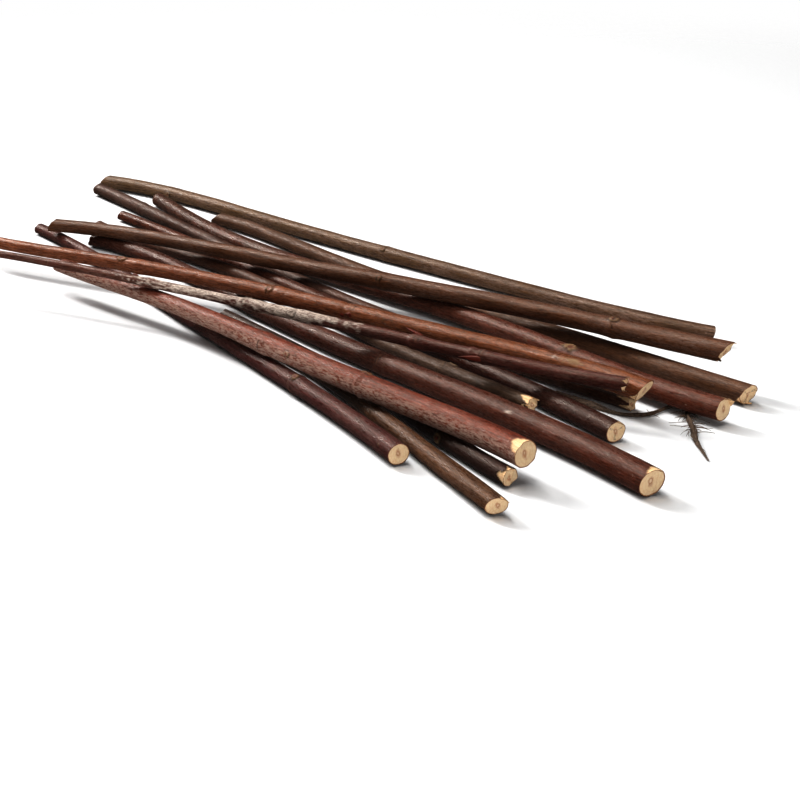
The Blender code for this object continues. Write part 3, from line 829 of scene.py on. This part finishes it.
def wood_material(name, cracked, stain=(1, 1, 1)):
    """A cut face: wood with rings round a drawn-out pith with a painted highlight at its middle,
    knife marks and a thin rim of bark.
    """
    n = Nodes(name)
    place = n.read("cut_face", "Vector")
    split = n.tree.nodes.new("ShaderNodeSeparateXYZ")
    n.feed(split.inputs[0], place)
    x, y, radius = split.outputs
    join = n.tree.nodes.new("ShaderNodeCombineXYZ")
    n.feed(join.inputs[0], x)
    n.feed(join.inputs[1], y)
    n.feed(join.inputs[2], n.math("MULTIPLY", radius, 3.7))
    flat = join.outputs[0]
    soft = n.noise(flat, 1.6, 5, 0.65)
    fuzz = n.noise(flat, 5.0, 6, 0.75)
    pores = n.noise(flat, 17.0, 5, 0.75)
    marks = n.noise(n.stretch(flat, (2.2, 13, 1)), 1.0, 5, 0.7)
    out = n.distance(x, y)
    long_x = n.math("ADD", n.math("MULTIPLY", x, 0.75), n.math("MULTIPLY", y, 0.35))
    wide_y = n.math("SUBTRACT", n.math("MULTIPLY", y, 1.5), n.math("MULTIPLY", x, 0.5))
    wavy = n.math("ADD", n.distance(long_x, wide_y), n.stray(soft, 0.5))
    wavy = n.math("ADD", wavy, n.stray(fuzz, 0.22))
    colour = n.blend(n.span(fuzz, 0.3, 0.65, 0.6, 0), WOOD, WOOD_DARK)
    colour = n.blend(n.span(marks, 0.4, 0.66, 0, 0.55), colour, KNIFE_MARK)
    colour = n.blend(n.span(marks, 0.3, 0.44, 0.5, 0), colour, WOOD_DARK)
    bands = n.math("SINE", n.math("MULTIPLY", wavy, 20.0))
    colour = n.blend(n.span(bands, 0.3, 1.0, 0, 0.22), colour, WOOD_DARK)
    colour = n.blend(n.span(pores, 0.52, 0.7, 0, 0.45), colour, WOOD_DARK)
    colour = n.blend(n.span(wavy, 0.16, 0.44, 0.75, 0), colour, PITH_RING)
    # painted highlight at the middle of the pith
    colour = n.blend(n.span(wavy, 0.04, 0.16, 0.85, 0), colour, PAINTED_PITH_HIGHLIGHT)
    if cracked:
        angle = n.math("ADD", n.math("ARCTAN2", y, x), n.math("MULTIPLY", fuzz, 2.2))
        spokes = n.math("ABSOLUTE", n.math("SINE", n.math("MULTIPLY", angle, 1.5)))
        gap = n.math("MULTIPLY", n.span(spokes, 0.03, 0.13, 1, 0), n.span(out, 0.78, 0.9, 1, 0))
        colour = n.blend(n.math("MULTIPLY", gap, 0.85), colour, CRACK)
    rim = n.math("ADD", out, n.stray(fuzz, 0.14))
    colour = n.blend(n.span(rim, 0.9, 0.96), colour, RIM[0])
    colour = n.blend(n.span(rim, 0.96, 1.0), colour, RIM[1])
    n.feed(n.shader.inputs["Base Color"], n.blend(1.0, colour, stain, "MULTIPLY"))
    n.feed(n.shader.inputs["Roughness"], n.span(soft, 0.2, 0.8, 0.65, 0.9))
    n.shader.inputs["Specular IOR Level"].default_value = WOOD_SPECULAR
    n.feed(n.shader.inputs["Normal"], n.bump(n.math("ADD", pores, marks), 0.00022, 0.7))
    return n.material


def rootlet_material():
    """Dry, fibrous, matt root."""
    n = Nodes("dry_root")
    fibre = n.noise(n.read("straight", "Vector"), 2.4, 6, 0.7)
    n.feed(n.shader.inputs["Base Color"], n.blend(n.span(fibre, 0.35, 0.65), *ROOT))
    n.feed(n.shader.inputs["Roughness"], n.span(fibre, 0.3, 0.7, 0.95, 0.7))
    n.feed(n.shader.inputs["Normal"], n.bump(fibre, 0.00015, 0.8))
    return n.material


FLOOR_SIZE = 12.0
FLOOR_DROP = 0.0002        # metres that the floor lies under the bundle
FLOOR_SOLID = 0.45         # metres from the middle, where the floor starts to fade out
FLOOR_END = 1.0            # and where it is gone


def floor_material():
    """Pale paper that fades into the equally pale sky."""
    n = Nodes("pale_floor")
    place = n.tree.nodes.new("ShaderNodeTexCoord").outputs["Object"]
    paper = n.noise(place, 300.0, 4, 0.6)
    n.feed(n.shader.inputs["Base Color"], n.blend(paper, *PAPER))
    n.feed(n.shader.inputs["Roughness"], n.span(paper, 0.3, 0.7, 0.85, 0.95))
    n.feed(n.shader.inputs["Normal"], n.bump(paper, 0.00005, 0.3))
    away = n.tree.nodes.new("ShaderNodeVectorMath")
    away.operation = "LENGTH"
    n.feed(away.inputs[0], place)
    n.feed(n.shader.inputs["Alpha"], n.span(away.outputs["Value"], FLOOR_SOLID, FLOOR_END, 1, 0))
    return n.material


def add_twigs():
    """Every twig, each as one object with its buds and splinters."""
    wood = wood_material("cut_wood", False)
    cracked = wood_material("cracked_wood", True)
    weathered = wood_material("weathered_wood", False, WEATHERED)
    for number, (node, look) in enumerate(sorted(LOOKS.items())):
        lean = math.radians(look.get("slant", (0, 0))[0])
        line = Line(node, END_SKIP + SLANT_SKIP * math.tan(lean))
        seed = FIRST_SEED + SEEDS_APART * number
        piece = Piece()
        add_skin(piece, line, look, seed)
        for bud in look.get("buds", ()):
            add_bud(piece, line, *bud)
        for index, shard in enumerate(look.get("shards", ())):
            add_shard(piece, line, look, seed, index, *shard)
        piece.build(node, [bark_material(node + "_bark", look, line.length),
                           cracked if look.get("cracks") else wood, weathered])


ROOT_SEED = 5
ROOT_POINTS = 220
ROOT_SMOOTH = 11           # points that the rootlet's line is smoothed over
ROOT_STRANDS = 9
ROOT_HAIRS = 64
HAIR_POINTS = 9
HAIR_THICK = (0.13, 0.06)  # half a hair's thickness at its root and its tip


def rootlet_line():
    """Middle line and half thickness of the rootlet's solid, and how many rings they come from."""
    order = rootlet_rings(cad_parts["dry_rootlet"].data)
    route = np.array([ring.mean(axis=0) for ring in order])
    thick = np.array([np.linalg.norm(ring - ring.mean(axis=0), axis=1).mean() for ring in order])
    kept = thick < 1.3 * np.minimum(np.roll(thick, 1), np.roll(thick, -1)) + 0.1
    kept[[0, -1]] = True
    route, thick = route[kept], thick[kept]
    fine = np.linspace(0, len(route) - 1, ROOT_POINTS)
    index = np.arange(len(route))
    line = np.column_stack([np.interp(fine, index, route[:, k]) for k in range(3)])
    half = np.interp(fine, index, thick)
    kernel = np.hanning(ROOT_SMOOTH) / np.hanning(ROOT_SMOOTH).sum()
    for k in range(3):
        padded = np.pad(line[:, k], ROOT_SMOOTH // 2, mode="reflect", reflect_type="odd")
        line[:, k] = np.convolve(padded, kernel, "valid")
    return line, half, len(route)


def wander(rng, count):
    """Random values from -1 to 1 at a count of places, joined up along the rootlet's line."""
    fine = np.linspace(0, count - 1, ROOT_POINTS)
    return np.interp(fine, np.arange(count), rng.uniform(-1, 1, count))


def add_rootlet():
    """The strand of fibres with its fine hairs, along the line of its solid."""
    line, half, count = rootlet_line()
    ahead = np.gradient(line, axis=0)
    ahead /= np.linalg.norm(ahead, axis=1, keepdims=True)
    side = np.cross(ahead, UP)
    rng = np.random.default_rng(ROOT_SEED)
    piece = Piece()
    knobbly = half * (0.82 + 0.16 * wander(rng, count))
    piece.add(*tube(line, np.maximum(knobbly, 0.1), 10))
    for _ in range(ROOT_STRANDS):
        phase = rng.uniform(0, TAU)
        twist = rng.uniform(0.5, 1.4) * rng.choice((-1, 1))
        reach = (half * 0.95 * (1 + 0.5 * wander(rng, count)))[:, None]
        angle = (phase + twist * np.linspace(0, 9, ROOT_POINTS))[:, None]
        path = line + reach * (np.cos(angle) * side + np.sin(angle) * UP)
        path[:, 2] = np.maximum(path[:, 2], 0.15)
        first = int(rng.uniform(0, 40))
        piece.add(*tube(path[first:], np.minimum(half[first:] * 0.3, 0.16) + 0.03, 5))
    weights = hair_weights(ROOT_POINTS)
    steps = np.linspace(0, 1, HAIR_POINTS)[:, None]
    for _ in range(ROOT_HAIRS):
        at = int(rng.choice(ROOT_POINTS, p=weights))
        away = rng.choice((-1, 1))
        reach = rng.uniform(1.6, 6.0)
        bend = rng.uniform(-0.7, 0.7)
        lift = rng.uniform(0.0, 0.3)
        heading = side[at] * away + ahead[at] * rng.uniform(0.2, 1.8)
        heading /= np.linalg.norm(heading)
        curl = np.cross(heading, UP)
        path = line[at] + heading * reach * steps + curl * bend * reach * steps**2
        arch = lift * reach * (steps[:, 0] - steps[:, 0] ** 2) * 2
        path[:, 2] = np.maximum(0.12, line[at][2] + arch)
        piece.add(*tube(path, np.linspace(*HAIR_THICK, HAIR_POINTS), 4))
    piece.build("dry_rootlet", [rootlet_material()], 60)


def hair_weights(count):
    """Hairs stand in two tufts: at the middle of the rootlet, and past its thickest place."""
    shares = np.linspace(0, 1, count)
    first = np.exp(-(((shares - 0.62) / 0.06) ** 2))
    second = 0.9 * np.exp(-(((shares - 0.76) / 0.05) ** 2))
    weights = first + second + 0.08
    return weights / weights.sum()


def rootlet_rings(mesh):
    """The solid's rings from one end to the other, found by walking its edges."""
    points = np.array([vert.co for vert in mesh.vertices]) / MM
    points, same = np.unique(np.round(points, 3), axis=0, return_inverse=True)
    same = same.reshape(-1)
    beside = {k: set() for k in range(len(points))}
    for edge in mesh.edges:
        a, b = (int(same[v]) for v in edge.vertices)
        beside[a].add(b)
        beside[b].add(a)
    end = points[np.argmin(points[:, 0])]
    near = np.linalg.norm(points - end, axis=1)
    ring = {int(k) for k in np.flatnonzero(near < 1.0)}
    seen = set(ring)
    rings = []
    while ring:
        rings.append(points[sorted(ring)])
        ring = {other for vert in ring for other in beside[vert]} - seen
        seen |= ring
    return rings


def add_light(name, place, size, power):
    """A soft light at a place in metres, turned to the middle, with its sides and its watts."""
    data = bpy.data.lights.new(name, "AREA")
    data.shape = "RECTANGLE"
    data.size, data.size_y = size
    data.energy = power
    light = bpy.data.objects.new(name, data)
    light.location = place
    light.rotation_euler = (-light.location).to_track_quat("-Z", "Y").to_euler()
    bpy.context.scene.collection.objects.link(light)


VIEW_AZIMUTH = 57.0        # degrees, as the photo sees the bundle
VIEW_PITCH = 20.0
CAMERA_PLACE = (0.5111, -0.2839, 0.171)
LENS = 72.0
SENSOR = 36.0


def add_camera():
    """The photo's view of the bundle."""
    data = bpy.data.cameras.new("camera")
    data.lens = LENS
    data.sensor_width = SENSOR
    data.clip_start = 0.01
    data.clip_end = 20
    camera = bpy.data.objects.new("camera", data)
    camera.location = CAMERA_PLACE
    camera.rotation_euler = (math.radians(90 - VIEW_PITCH), 0, math.radians(VIEW_AZIMUTH))
    bpy.context.scene.collection.objects.link(camera)
    bpy.context.scene.camera = camera


def pale_world():
    """A dim sky that is itself seen as pale as the floor."""
    world = bpy.data.worlds.new("studio")
    world.use_nodes = True
    tree = world.node_tree
    dim = tree.nodes["Background"]
    dim.inputs["Strength"].default_value = SKY_LIGHT
    pale = tree.nodes.new("ShaderNodeBackground")
    pale.inputs["Strength"].default_value = SKY_SEEN
    for shade in (dim, pale):
        shade.inputs["Color"].default_value = (1, 1, 1, 1)
    mixer = tree.nodes.new("ShaderNodeMixShader")
    ray = tree.nodes.new("ShaderNodeLightPath")
    tree.links.new(ray.outputs["Is Camera Ray"], mixer.inputs[0])
    tree.links.new(dim.outputs[0], mixer.inputs[1])
    tree.links.new(pale.outputs[0], mixer.inputs[2])
    tree.links.new(mixer.outputs[0], tree.nodes["World Output"].inputs["Surface"])
    return world


SKY_LIGHT = 0.08           # strength of the sky as a light
SKY_SEEN = 1.0             # and as the camera sees it
TONE_GAMMA = 0.75          # deepens the darker tones
LIGHTS = {                 # place in metres, sides, watts
    "window": ((-2.25, -0.72, 1.66), (0.26, 1.4), 84),
    "overhead": ((-0.1, -0.25, 1.35), (2.0, 0.3), 23),
    "front": ((1.5, -0.5, 0.6), (0.7, 0.5), 6),
}


def add_studio():
    """The floor, the lights and the sky."""
    bpy.ops.mesh.primitive_plane_add(size=FLOOR_SIZE, location=(0, 0, -FLOOR_DROP))
    floor = bpy.context.object
    floor.name = "floor"
    floor.data.materials.append(floor_material())
    floor.visible_glossy = False
    for name, values in LIGHTS.items():
        add_light(name, *values)
    bpy.context.scene.world = pale_world()
    bpy.context.scene.view_settings.view_transform = "Standard"
    bpy.context.scene.view_settings.gamma = TONE_GAMMA


add_camera()
add_studio()
add_twigs()
add_rootlet()
